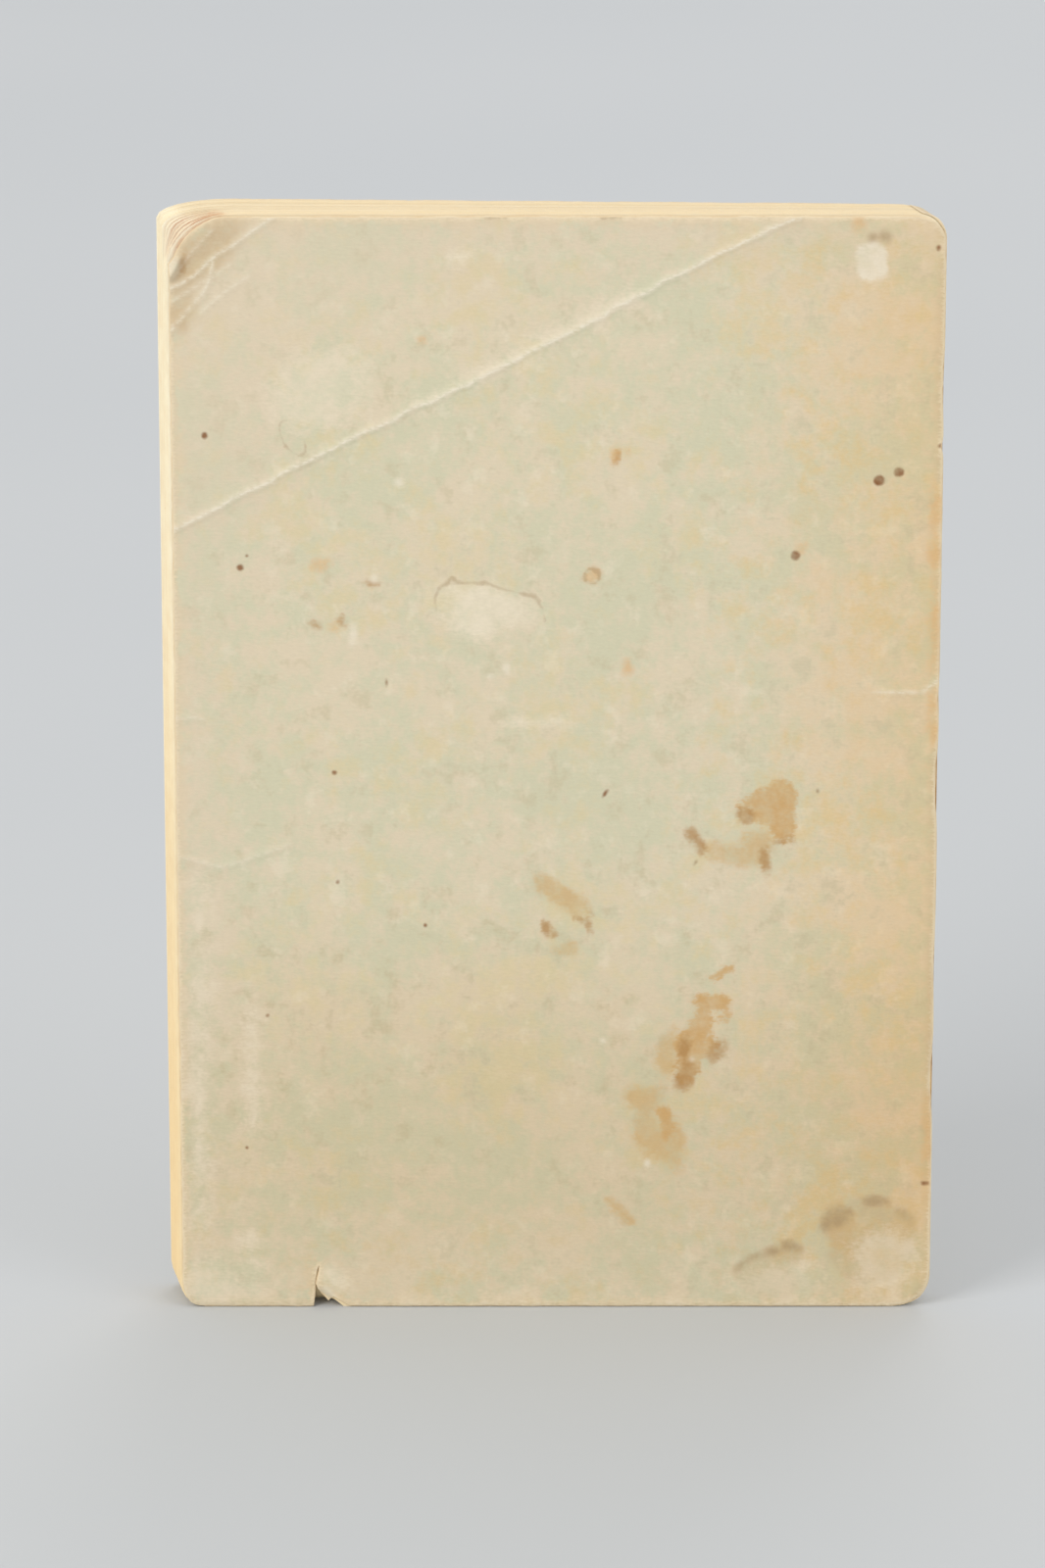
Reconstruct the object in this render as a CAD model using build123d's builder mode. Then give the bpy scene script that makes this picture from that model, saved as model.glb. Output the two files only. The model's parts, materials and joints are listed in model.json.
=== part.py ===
from build123d import *
import os
from math import asin, cos, sin

# A worn paperback standing on its tail: sewn gatherings of leaves inside a folded paper wrapper.
# X runs from the fore edge to the spine, Y from the back cover to the front cover, Z from tail to head.
# The origin lies under the middle of the whole book, on the surface it stands on.

# Leaves, in millimetres
LEAF_WIDTH = 140.0
LEAF_HEIGHT = 210.0
SPINE_THICKNESS = 6.8
FORE_EDGE_THICKNESS = 11.6
LEAN = 2.3
GATHERINGS = 10
GATHERING_SLIP = 0.25
SLIP_PHASE = 2.4

# Worn corners of the leaves
HEAD_SPINE_RADIUS = 4.5
TAIL_SPINE_RADIUS = 6.5
TAIL_FORE_RADIUS = 3.5
HEAD_FORE_RADIUS = 2.8
THUMBED_RADIUS = 9.5
THUMBED_STEP = 2.0

# Sewing and glue at the spine
STITCHES = 4
STITCH_SPACING = 48.0
THREAD_DIAMETER = 0.6
KERF_CLEARANCE = 0.05
GLUE_FILM = 0.25

# Paper wrapper
COVER_STOCK = 0.35
COVER_INSET = 0.2
FOLD_CLEARANCE = 0.06
SPINE_CAP_ANGLE = 60.0
COVER_TAIL_FORE_RADIUS = 4.5
BACK_HEAD_FORE_RADIUS = 11.5
FRONT_HEAD_FORE_RADIUS = 3.5

# Creases pressed into the back cover, by their ends on the fore edge and on the head
CREASE_WIDTH = 1.4
CREASE_DEPTH = 0.14
FOLDED_CORNER_DROP = 58.5
FOLDED_CORNER_RUN = 114.0
DOG_EAR_DROP = 20.5
DOG_EAR_RUN = 19.5

# Chip torn out of the tail of the back cover and of the last leaves
CHIP_FROM_FORE_EDGE = 24.7
CHIP_WIDTH = 6.6
CHIP_HEIGHT = 5.6
CHIP_BULGE = 1.0
CHIP_LEAF_DEPTH = 2.4
CHIP_LEAF_STEPS = 3
TEAR_WIDTH = 0.3
TEAR_HEIGHT = 8.5
TEAR_LEAN = 0.7

# Places that follow from the sizes above
FOLD_OFFSET = GLUE_FILM + COVER_STOCK / 2
OVERALL_WIDTH = LEAN + LEAF_WIDTH + GLUE_FILM + COVER_STOCK
SPINE_X = OVERALL_WIDTH / 2 - GLUE_FILM - COVER_STOCK
BACK_Y = -FORE_EDGE_THICKNESS / 2
BACK_FORE_X = SPINE_X - LEAF_WIDTH + COVER_INSET
SPINE_RUN = Vector(-LEAN, SPINE_THICKNESS, 0)
FOLD_GAP = SPINE_RUN * (FOLD_CLEARANCE / SPINE_THICKNESS)
BINDING_RUN = SPINE_RUN - FOLD_GAP * 2
BINDING_PLANE = Plane(FOLD_GAP + Vector(0, BACK_Y, 0), x_dir=(1, 0, 0), z_dir=(0, -1, 0))


def leaf_plane(share):
    """Plane of one leaf, at a share of the way from the last leaf to the first, with X towards the spine."""
    fan_angle = asin(share * (FORE_EDGE_THICKNESS - SPINE_THICKNESS) / LEAF_WIDTH)
    return Plane(
        origin=Vector(SPINE_X, BACK_Y, 0) + SPINE_RUN * share,
        x_dir=(cos(fan_angle), -sin(fan_angle), 0),
        z_dir=(-sin(fan_angle), -cos(fan_angle), 0),
    )


def sheet_outline(spine_x, fore_x, head_z, radii):
    """Outline of a leaf or cover, its radii from the tail of the spine round by the head to the fore edge."""
    FilletPolyline(
        (spine_x, 0),
        (spine_x, head_z),
        (fore_x, head_z),
        (fore_x, 0),
        radius=radii,
        close=True,
    )


def chip_outline(inset=0.0):
    """Outline of the chip in the tail edge, torn straight on one side and round on the other."""
    left = BACK_FORE_X + CHIP_FROM_FORE_EDGE + inset
    right = left + CHIP_WIDTH - 2 * inset
    top = CHIP_HEIGHT - inset
    middle = ((left + right) / 2 + CHIP_BULGE, top / 2 + CHIP_BULGE)
    Line((right, 0), (left, 0))
    Line((left, 0), (left, top))
    ThreePointArc((left, top), middle, (right, 0))


# Page block: fanned gatherings, each slipped a little, the last ones thumbed round at the head
with BuildPart() as page_block:
    for index in range(GATHERINGS):
        slip = GATHERING_SLIP * (1 + sin(SLIP_PHASE * index)) / 2
        head_slip = GATHERING_SLIP * (1 + cos(SLIP_PHASE * index)) / 2
        thumbed_radius = max(HEAD_FORE_RADIUS, THUMBED_RADIUS - THUMBED_STEP * index)
        leaf_radii = [TAIL_SPINE_RADIUS, HEAD_SPINE_RADIUS, thumbed_radius, TAIL_FORE_RADIUS]
        for share in (index / GATHERINGS, (index + 1) / GATHERINGS):
            with BuildSketch(leaf_plane(share)):
                with BuildLine():
                    sheet_outline(0, slip - LEAF_WIDTH, LEAF_HEIGHT - head_slip, leaf_radii)
                make_face()
        loft(ruled=True)

    # Saw kerfs across the spine for the stitches
    kerf = THREAD_DIAMETER + 2 * KERF_CLEARANCE
    with BuildSketch(Plane.XZ.offset(-BACK_Y)):
        with Locations((SPINE_X, LEAF_HEIGHT / 2)):
            with GridLocations(1, STITCH_SPACING, 1, STITCHES):
                Rectangle(2 * kerf, kerf)
    extrude(amount=SPINE_RUN.length, dir=SPINE_RUN, mode=Mode.SUBTRACT)

    # Leaves torn behind the chip, less of each the deeper it lies
    for step in range(1, CHIP_LEAF_STEPS + 1):
        with BuildSketch(Plane.XZ.offset(-BACK_Y)):
            with BuildLine():
                chip_outline(COVER_STOCK * step)
            make_face()
        extrude(amount=-CHIP_LEAF_DEPTH * step / CHIP_LEAF_STEPS, mode=Mode.SUBTRACT)

# Sewing thread: one link across the gatherings in each kerf
with BuildPart() as sewing_thread:
    with BuildSketch(BINDING_PLANE):
        with Locations((SPINE_X - THREAD_DIAMETER / 2 - KERF_CLEARANCE, LEAF_HEIGHT / 2)):
            with GridLocations(1, STITCH_SPACING, 1, STITCHES):
                Circle(THREAD_DIAMETER / 2)
    extrude(amount=BINDING_RUN.length, dir=BINDING_RUN)

# Glue film over the flat of the spine
with BuildPart() as spine_glue:
    with BuildSketch(BINDING_PLANE):
        with Locations((SPINE_X, TAIL_SPINE_RADIUS)):
            Rectangle(
                GLUE_FILM,
                LEAF_HEIGHT - HEAD_SPINE_RADIUS - TAIL_SPINE_RADIUS - GATHERING_SLIP,
                align=(Align.MIN, Align.MIN),
            )
    extrude(amount=BINDING_RUN.length, dir=BINDING_RUN)

# Spine of the wrapper: bent over the bumped corners at the head and at the tail
with BuildPart() as spine_wrap:
    head_centre = (SPINE_X - HEAD_SPINE_RADIUS, LEAF_HEIGHT - HEAD_SPINE_RADIUS)
    tail_centre = (SPINE_X - TAIL_SPINE_RADIUS, TAIL_SPINE_RADIUS)
    with BuildSketch(BINDING_PLANE):
        with BuildLine():
            cap = CenterArc(head_centre, HEAD_SPINE_RADIUS + FOLD_OFFSET, 0, SPINE_CAP_ANGLE)
            foot = CenterArc(tail_centre, TAIL_SPINE_RADIUS + FOLD_OFFSET, 0, -SPINE_CAP_ANGLE)
            Line(cap @ 0, foot @ 0)
        trace(line_width=COVER_STOCK)
    extrude(amount=BINDING_RUN.length, dir=BINDING_RUN)

# Corner radii of the covers at the spine, where they meet the bent spine
cover_tail_radius = TAIL_SPINE_RADIUS + FOLD_OFFSET
cover_head_radius = HEAD_SPINE_RADIUS + FOLD_OFFSET
fold_length = LEAF_HEIGHT - cover_tail_radius - cover_head_radius

# Back cover: worn round at the head of its fore edge, creased, and chipped at the tail
with BuildPart() as back_cover:
    back_face = Plane.XZ.offset(-BACK_Y)
    back_radii = [cover_tail_radius, cover_head_radius, BACK_HEAD_FORE_RADIUS, COVER_TAIL_FORE_RADIUS]
    with BuildSketch(back_face):
        with BuildLine():
            sheet_outline(SPINE_X + FOLD_OFFSET, BACK_FORE_X, LEAF_HEIGHT, back_radii)
        make_face()
    extrude(amount=COVER_STOCK)

    # Rounded fold that the cover turns on
    with BuildSketch(Plane.XY.offset(cover_tail_radius)):
        with Locations((SPINE_X + FOLD_OFFSET, BACK_Y - COVER_STOCK / 2)):
            Circle(COVER_STOCK / 2)
    extrude(amount=fold_length)

    # Chip and the tear above it
    with BuildSketch(back_face):
        with BuildLine():
            chip_outline()
        make_face()
        tear_x = BACK_FORE_X + CHIP_FROM_FORE_EDGE
        with BuildLine():
            Polyline(
                (tear_x, 0),
                (tear_x + TEAR_WIDTH, 0),
                (tear_x + TEAR_LEAN, TEAR_HEIGHT),
                close=True,
            )
        make_face()
    extrude(amount=COVER_STOCK, mode=Mode.SUBTRACT)

    # Creases of the folded corner and of the dog ear
    for drop, run in ((FOLDED_CORNER_DROP, FOLDED_CORNER_RUN), (DOG_EAR_DROP, DOG_EAR_RUN)):
        crease_end = Vector(BACK_FORE_X, BACK_Y - COVER_STOCK, LEAF_HEIGHT - drop)
        crease_run = Vector(run, 0, drop)
        with BuildSketch(Plane(crease_end - crease_run, x_dir=(0, -1, 0), z_dir=crease_run)):
            with BuildLine():
                Polyline(
                    (0, -CREASE_WIDTH / 2),
                    (0, CREASE_WIDTH / 2),
                    (-CREASE_DEPTH, 0),
                    close=True,
                )
            make_face()
        extrude(amount=3 * crease_run.length, mode=Mode.SUBTRACT)

# Front cover: hidden in the photograph, a plain sheet with rounded corners
with BuildPart() as front_cover:
    front_face = leaf_plane(1)
    front_radii = [cover_tail_radius, cover_head_radius, FRONT_HEAD_FORE_RADIUS, COVER_TAIL_FORE_RADIUS]
    with BuildSketch(front_face):
        with BuildLine():
            sheet_outline(FOLD_OFFSET, COVER_INSET - LEAF_WIDTH, LEAF_HEIGHT, front_radii)
        make_face()
    extrude(amount=-COVER_STOCK)

    # Rounded fold that the cover turns on
    front_fold = front_face.from_local_coords((FOLD_OFFSET, cover_tail_radius, -COVER_STOCK / 2))
    with BuildSketch(Plane(front_fold)):
        Circle(COVER_STOCK / 2)
    extrude(amount=fold_length)

pieces = {
    "page_block": page_block,
    "sewing_thread": sewing_thread,
    "spine_glue": spine_glue,
    "spine_wrap": spine_wrap,
    "back_cover": back_cover,
    "front_cover": front_cover,
}
os.makedirs("parts", exist_ok=True)
for name, piece in pieces.items():
    piece.part.label = name
    export_step(piece.part, f"parts/{name}.step")
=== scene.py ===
# Worn paperback standing on its tail: fanned leaves inside a creased and stained paper wrapper.
# X runs from the fore edge to the spine, Y from the back cover to the front cover, Z from tail to head.
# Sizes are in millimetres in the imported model's frame, and meshes are written in metres.
import json
import math
from collections import namedtuple
from functools import partial

import bmesh
import bpy
import numpy as np
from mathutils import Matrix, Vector, noise
from mathutils.geometry import delaunay_2d_cdt


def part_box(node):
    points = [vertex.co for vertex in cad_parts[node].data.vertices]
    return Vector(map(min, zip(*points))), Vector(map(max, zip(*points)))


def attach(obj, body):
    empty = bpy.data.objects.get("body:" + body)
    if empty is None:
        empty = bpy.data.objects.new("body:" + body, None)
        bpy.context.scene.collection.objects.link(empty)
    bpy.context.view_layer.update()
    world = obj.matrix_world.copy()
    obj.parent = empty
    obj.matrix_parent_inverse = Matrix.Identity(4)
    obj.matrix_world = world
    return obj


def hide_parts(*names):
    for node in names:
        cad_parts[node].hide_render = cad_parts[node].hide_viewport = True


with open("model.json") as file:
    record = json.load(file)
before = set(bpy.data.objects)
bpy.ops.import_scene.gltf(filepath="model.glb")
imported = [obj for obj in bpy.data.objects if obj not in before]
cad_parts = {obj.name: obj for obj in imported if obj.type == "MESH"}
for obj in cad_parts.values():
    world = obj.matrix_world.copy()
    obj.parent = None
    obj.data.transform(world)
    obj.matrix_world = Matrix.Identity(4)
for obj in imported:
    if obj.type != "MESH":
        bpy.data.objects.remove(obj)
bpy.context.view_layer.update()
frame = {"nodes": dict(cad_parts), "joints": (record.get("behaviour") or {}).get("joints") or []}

MM = 0.001


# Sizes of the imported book
def box_mm(node):
    low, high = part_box(node)
    return low / MM, high / MM


leaf_low, leaf_high = box_mm("page_block")
cover_low, cover_high = box_mm("back_cover")
glue_low, glue_high = box_mm("spine_glue")
wrap_high = box_mm("spine_wrap")[1]
folds = {joint["child"]: Vector(joint["pos_m"]) / MM for joint in frame["joints"]}
back_fold = folds["back_cover"]
front_fold = folds["front_cover"]

STOCK = cover_high.y - cover_low.y
HEIGHT = leaf_high.z
SPINE_X = leaf_high.x
BACK_Y = leaf_low.y
LEAN = back_fold.x - front_fold.x
SPINE_THICKNESS = front_fold.y - back_fold.y - STOCK
LEAF_WIDTH = SPINE_X - LEAN - leaf_low.x
FAN = math.asin((leaf_high.y - BACK_Y - SPINE_THICKNESS) / LEAF_WIDTH)
COVER_WIDTH = back_fold.x - cover_low.x
TAIL_RADIUS = glue_low.z
HEAD_RADIUS = HEIGHT - glue_high.z
WRAP_REACH = wrap_high.x - SPINE_X

# Leaves: a corner is the width and height that it is rounded by, and fades over the leaf by a power
LEAVES = 80
LEAF_STOCK = 0.08
LEAF_SWELL = 0.045
LEAF_SLIP = 0.3
LEAF_SEED = 7
WORN_CORNER = (12.0, 10.4)
HEAD_CORNER = (13.0, 3.5)
TAIL_CORNER = (4.5, 5.0)
HEAD_FADE = 4
TAIL_FADE = 10
THUMBED_REACH = 15
THUMBED_FADE = 10
BUNCH = 5.0
WORN_BUNCHES = 6.0
BUNCH_SWAY = 0.12
SWAY_PACE = 0.31
FORE_GAP = 0.1
CORNER_GAP = 0.45
CORNER_PRESS = 0.045
WEAR_SPREAD = 0.05
TORN_LEAVES = 30.0
TORN_START = 1.15
TORN_LEAST = 0.75
TORN_SHARE = 0.95
TORN_FADE = 14

# The cover's worn edges, drawn in from the flat sheet
FORE_DRAW = 0.45
TAIL_DRAW = 0.15
HEAD_DRAW = 0.4

# Chip and tear at the tail of the back cover, from the fore edge
TEAR_FOOT = 25.0
TEAR_WIDTH = 0.35
TEAR_TOP = (25.9, 8.2)
CHIP_WIDTH = 6.6
CHIP_HEIGHT = 5.6
FOLD_RADIUS = 0.5
FOLD_TURN = math.radians(44)
FOLD_DEPTH = 0.4
CURL_RADIUS = 0.6
TEAR_LIFT = 0.5
TEAR_LIFT_REACH = 2.6
TEAR_LAP = 0.6
TEAR_LAP_REACH = 1.2

# Knocks on the spine edge of the back cover, each a height, a reach and a depth
KNOCKS = (
    (102.6, 6.0, 0.5),
    (45.6, 6.0, 0.55),
    (166.6, 1.2, 0.3),
    (177, 6.0, 0.25),
    (66, 8.0, 0.2),
    (120, 3.0, 0.15),
)

# Spine of the wrapper: its gap to the covers, its deepest dent, and how it thins over the bumped corners
SPINE_GAP = 0.03
SPINE_DENT = 0.3
CAP_ANGLE = math.radians(78)
CAP_THINNING = 0.85
CAP_THIN_FROM = 0.7
CAP_THIN_OVER = 0.6

# Paper sheets: the spacing of their points, and the reach of ridges, worn lines and warps
OUTLINE_STEP = 0.8
SHEET_SPACING = 2.2
CURL_SPACING = 0.4
CREASE_STEP = 1.1
CREASE_ROWS = (-1.3, -0.8, -0.4, 0.0, 0.4, 0.8, 1.3)
CREASE_GAP = 0.3
MARK_SPACING = (0.22, 1.1)
POINT_MERGE = 0.005
BITE_SIZE = 4
NIBBLE_SIZE = 0.9
RIDGE_REACH = 0.7
WEAR_REACH = 0.38
STRAY_STEP = 2.5
FINE_SOFT = 5.0
WIDE_WARP = (0.30, 60)
CLOSE_WARP = (0.10, 17)
FLAT_AT_FOLD = 12
UNCREASED_AT_FOLD = 4
FOLDED_RISE = 0.006
DOG_EAR_RISE = 0.055
SHARP_ANGLE = math.radians(50)

Crease = namedtuple("Crease", "path ridge wear")


def straying(path, amount):
    """Close points along a path of straight runs, each a little off it."""
    points = []
    for a, b in zip(path, path[1:]):
        run = Vector(b) - Vector(a)
        steps = max(1, round(run.length / STRAY_STEP))
        points += [Vector(a) + run * (k / steps) for k in range(steps)]
    points.append(Vector(path[-1]))
    strayed = []
    for point in points:
        u, w = point / STRAY_STEP
        shift = Vector((noise.noise((u, w, 1.3)), noise.noise((u, w, 8.6)))) * amount
        strayed.append(tuple(point + shift))
    return tuple(strayed)


# Creases of the back cover, by points from the fore edge and from the tail
FOLDED_LINE = ((0, 150.8), (25, 164.2), (54.2, 178.6), (72, 187.9), (100, 203.1), (114, 209.6))
DOG_EAR_LINE = ((0, 196.0), (5.0, 198.5), (9.2, 202.6), (12.2, 204.3), (15.5, 207), (19.5, 209.6))
FOLDED_CORNER = Crease(straying(FOLDED_LINE, 0.5), 0.28, 1.0)
DOG_EAR = Crease(straying(DOG_EAR_LINE, 0.3), 0.2, 0.8)
LIP = ((0.7, 198.7), (1.6, 200.3), (2.3, 201.9))
LIP_HEIGHT = 1.1
LIP_REACH = 0.75
BACK_CREASES = (
    FOLDED_CORNER,
    DOG_EAR,
    Crease(((0.4, 188.0), (4.2, 192.7), (6.7, 195.6), (7.9, 198.1), (8.4, 201.5)), 0.18, 0.7),
    Crease(((6.0, 191.6), (9.5, 194.9), (14.8, 198.7)), 0.08, 0.45),
    Crease(((1.4, 198.4), (4.6, 203.0), (8.4, 207.2)), 0.12, 0.4),
    Crease(((0.6, 193.6), (5.2, 196.6), (11.4, 200.6)), 0.08, 0.45),
    Crease(((129, 120.4), (136.9, 120.3), (140, 122.6)), 0.12, 0.6),
    Crease(((0.4, 115.5), (4.9, 115.5)), 0.1, 0.4),
    Crease(((0.4, 88.8), (8.9, 86.7), (20.6, 90.8)), 0.14, 0.35),
)
FRONT_CREASES = (
    Crease(((1, 186), (9, 196), (21, 209)), 0.12, 0.5),
    Crease(((131, 1), (131.6, 80), (131, 209)), 0.1, 0.35),
)


# Mesh helpers
def new_object(name, data):
    thing = bpy.data.objects.new(name, data)
    bpy.context.scene.collection.objects.link(thing)
    return thing


def finished_mesh(name, mesh, materials):
    """Makes an object of a mesh, with its faces outward, smooth faces and sharp corners."""
    shell = bmesh.new()
    shell.from_mesh(mesh)
    bmesh.ops.recalc_face_normals(shell, faces=shell.faces)
    shell.to_mesh(mesh)
    shell.free()
    mesh.shade_smooth()
    mesh.set_sharp_from_angle(angle=SHARP_ANGLE)
    for material in materials:
        mesh.materials.append(material)
    return new_object(name, mesh)


def add_values(mesh, name, values):
    mesh.attributes.new(name, "FLOAT", "POINT").data.foreach_set("value", values)


def smooth(value):
    value = np.clip(value, 0.0, 1.0)
    return value * value * (3 - 2 * value)


def rounded_inset(distance, corner):
    """How far a corner, rounded by a width and a height, draws an edge in at a distance from its end."""
    wide, high = corner
    if distance >= high:
        return 0.0
    return wide * (1 - math.sqrt(1 - ((high - distance) / high) ** 2))


# Leaf stack
def leaf_rows():
    """Heights of the rows of one leaf, close together round its corners."""
    tail = [TAIL_RADIUS * share for share in (0, 0.05, 0.15, 0.3, 0.5, 0.75, 1)]
    middle = [HEIGHT * k / 8 for k in range(1, 8)]
    head = [HEIGHT - below for below in (10.5, 8.4, 6.5, 4.9, 3.5, 2.5, 1.7, 1.0, 0.5, 0.2, 0)]
    return tail + middle + head


def leaf_columns():
    """Distances from the spine of one leaf's columns, close together at the chip and the fore edge."""
    chip = LEAF_WIDTH - TEAR_FOOT
    spread = [0, 5, 30, 60, 90] + [LEAF_WIDTH - back for back in (16, 8, 4, 1.8, 1.0, 0.5, 0.2, 0)]
    torn = [chip + 0.1] + [chip - CHIP_WIDTH * share for share in (0.0, 0.2, 0.4, 0.6, 0.8, 1.0)]
    return sorted(spread + torn)


def single_leaf():
    """One leaf lying flat, X from the spine to the fore edge, with the worn and torn places as attributes."""
    rows = leaf_rows()
    columns = leaf_columns()
    places = []
    fields = {"wear": [], "chip": [], "corner": [], "from_edge": []}
    for side in (-0.5, 0.5):
        for z in rows:
            spine_inset = rounded_inset(z, (TAIL_RADIUS, TAIL_RADIUS))
            spine_inset += rounded_inset(HEIGHT - z, (HEAD_RADIUS, HEAD_RADIUS))
            tail_inset = rounded_inset(z, TAIL_CORNER)
            head_inset = rounded_inset(HEIGHT - z, HEAD_CORNER)
            worn_inset = rounded_inset(HEIGHT - z, WORN_CORNER)
            for column in columns:
                share = column / LEAF_WIDTH
                x = column + spine_inset * (1 - share)
                x = x - tail_inset * share**TAIL_FADE - head_inset * share**HEAD_FADE
                past_tear = LEAF_WIDTH - TEAR_FOOT - column
                torn = 0 <= past_tear <= CHIP_WIDTH
                rise = TORN_SHARE * CHIP_HEIGHT * (1 - past_tear / CHIP_WIDTH) if torn else 0.0
                from_corner = math.hypot(LEAF_WIDTH - x, HEIGHT - z)
                places.append((x * MM, side, z * MM))
                fields["wear"].append(max(0.0, worn_inset - head_inset) * share**HEAD_FADE * MM)
                fields["chip"].append(rise * max(0.0, 1 - z / TORN_FADE) * MM)
                fields["corner"].append(smooth((THUMBED_REACH - from_corner) / THUMBED_FADE))
                fields["from_edge"].append(LEAF_WIDTH - column)
    across = len(columns)
    layer = len(rows) * across
    faces = []
    for row in range(len(rows) - 1):
        for column in range(across - 1):
            a = row * across + column
            quad = (a, a + 1, a + 1 + across, a + across)
            faces.append(quad)
            faces.append(tuple(layer + i for i in reversed(quad)))
    bottom = list(range(across))
    fore = [row * across + across - 1 for row in range(1, len(rows))]
    top = [layer - 1 - i for i in range(1, across)]
    spine = [row * across for row in range(len(rows) - 2, 0, -1)]
    rim = bottom + fore + top + spine
    for a, b in zip(rim, rim[1:] + rim[:1]):
        faces.append((b, a, layer + a, layer + b))
    mesh = bpy.data.meshes.new("leaf")
    mesh.from_pydata(places, [], faces)
    for name, values in fields.items():
        add_values(mesh, name, values)
    return mesh


# Node helpers, for geometry and shader trees alike
def put(tree, kind, sockets=None, **settings):
    """Adds a node, sets it up, and fills its inputs with values or with links."""
    node = tree.nodes.new(kind)
    for name, value in settings.items():
        setattr(node, name, value)
    for key, value in (sockets or {}).items():
        if isinstance(value, bpy.types.NodeSocket):
            tree.links.new(value, node.inputs[key])
        else:
            node.inputs[key].default_value = value
    return node


def calc(tree, operation, *values, clamp=False):
    node = put(tree, "ShaderNodeMath", dict(enumerate(values)), operation=operation, use_clamp=clamp)
    return node.outputs[0]


def sums(tree):
    """Functions that add, subtract, multiply and divide in a tree."""
    return [partial(calc, tree, operation) for operation in ("ADD", "SUBTRACT", "MULTIPLY", "DIVIDE")]


def part_of(tree, mask, share):
    return calc(tree, "MULTIPLY", mask, share)


def vector_calc(tree, operation, *values):
    return put(tree, "ShaderNodeVectorMath", dict(enumerate(values)), operation=operation).outputs[0]


def span(tree, value, start, end, low=0.0, high=1.0):
    """Smooth step of a value from one range to another."""
    sockets = {"Value": value, "From Min": start, "From Max": end, "To Min": low, "To Max": high}
    node = put(tree, "ShaderNodeMapRange", sockets, interpolation_type="SMOOTHSTEP", clamp=False)
    return node.outputs["Result"]


def new_group(name, kind, inputs, outputs):
    """Node group with named inputs and outputs; gives its tree, its inputs and its outputs."""
    tree = bpy.data.node_groups.new(name, kind)
    for label, socket_type, value in inputs:
        socket = tree.interface.new_socket(label, in_out="INPUT", socket_type=socket_type)
        if value is not None:
            socket.default_value = value
    for label, socket_type in outputs:
        tree.interface.new_socket(label, in_out="OUTPUT", socket_type=socket_type)
    return tree, tree.nodes.new("NodeGroupInput").outputs, tree.nodes.new("NodeGroupOutput").inputs


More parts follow.
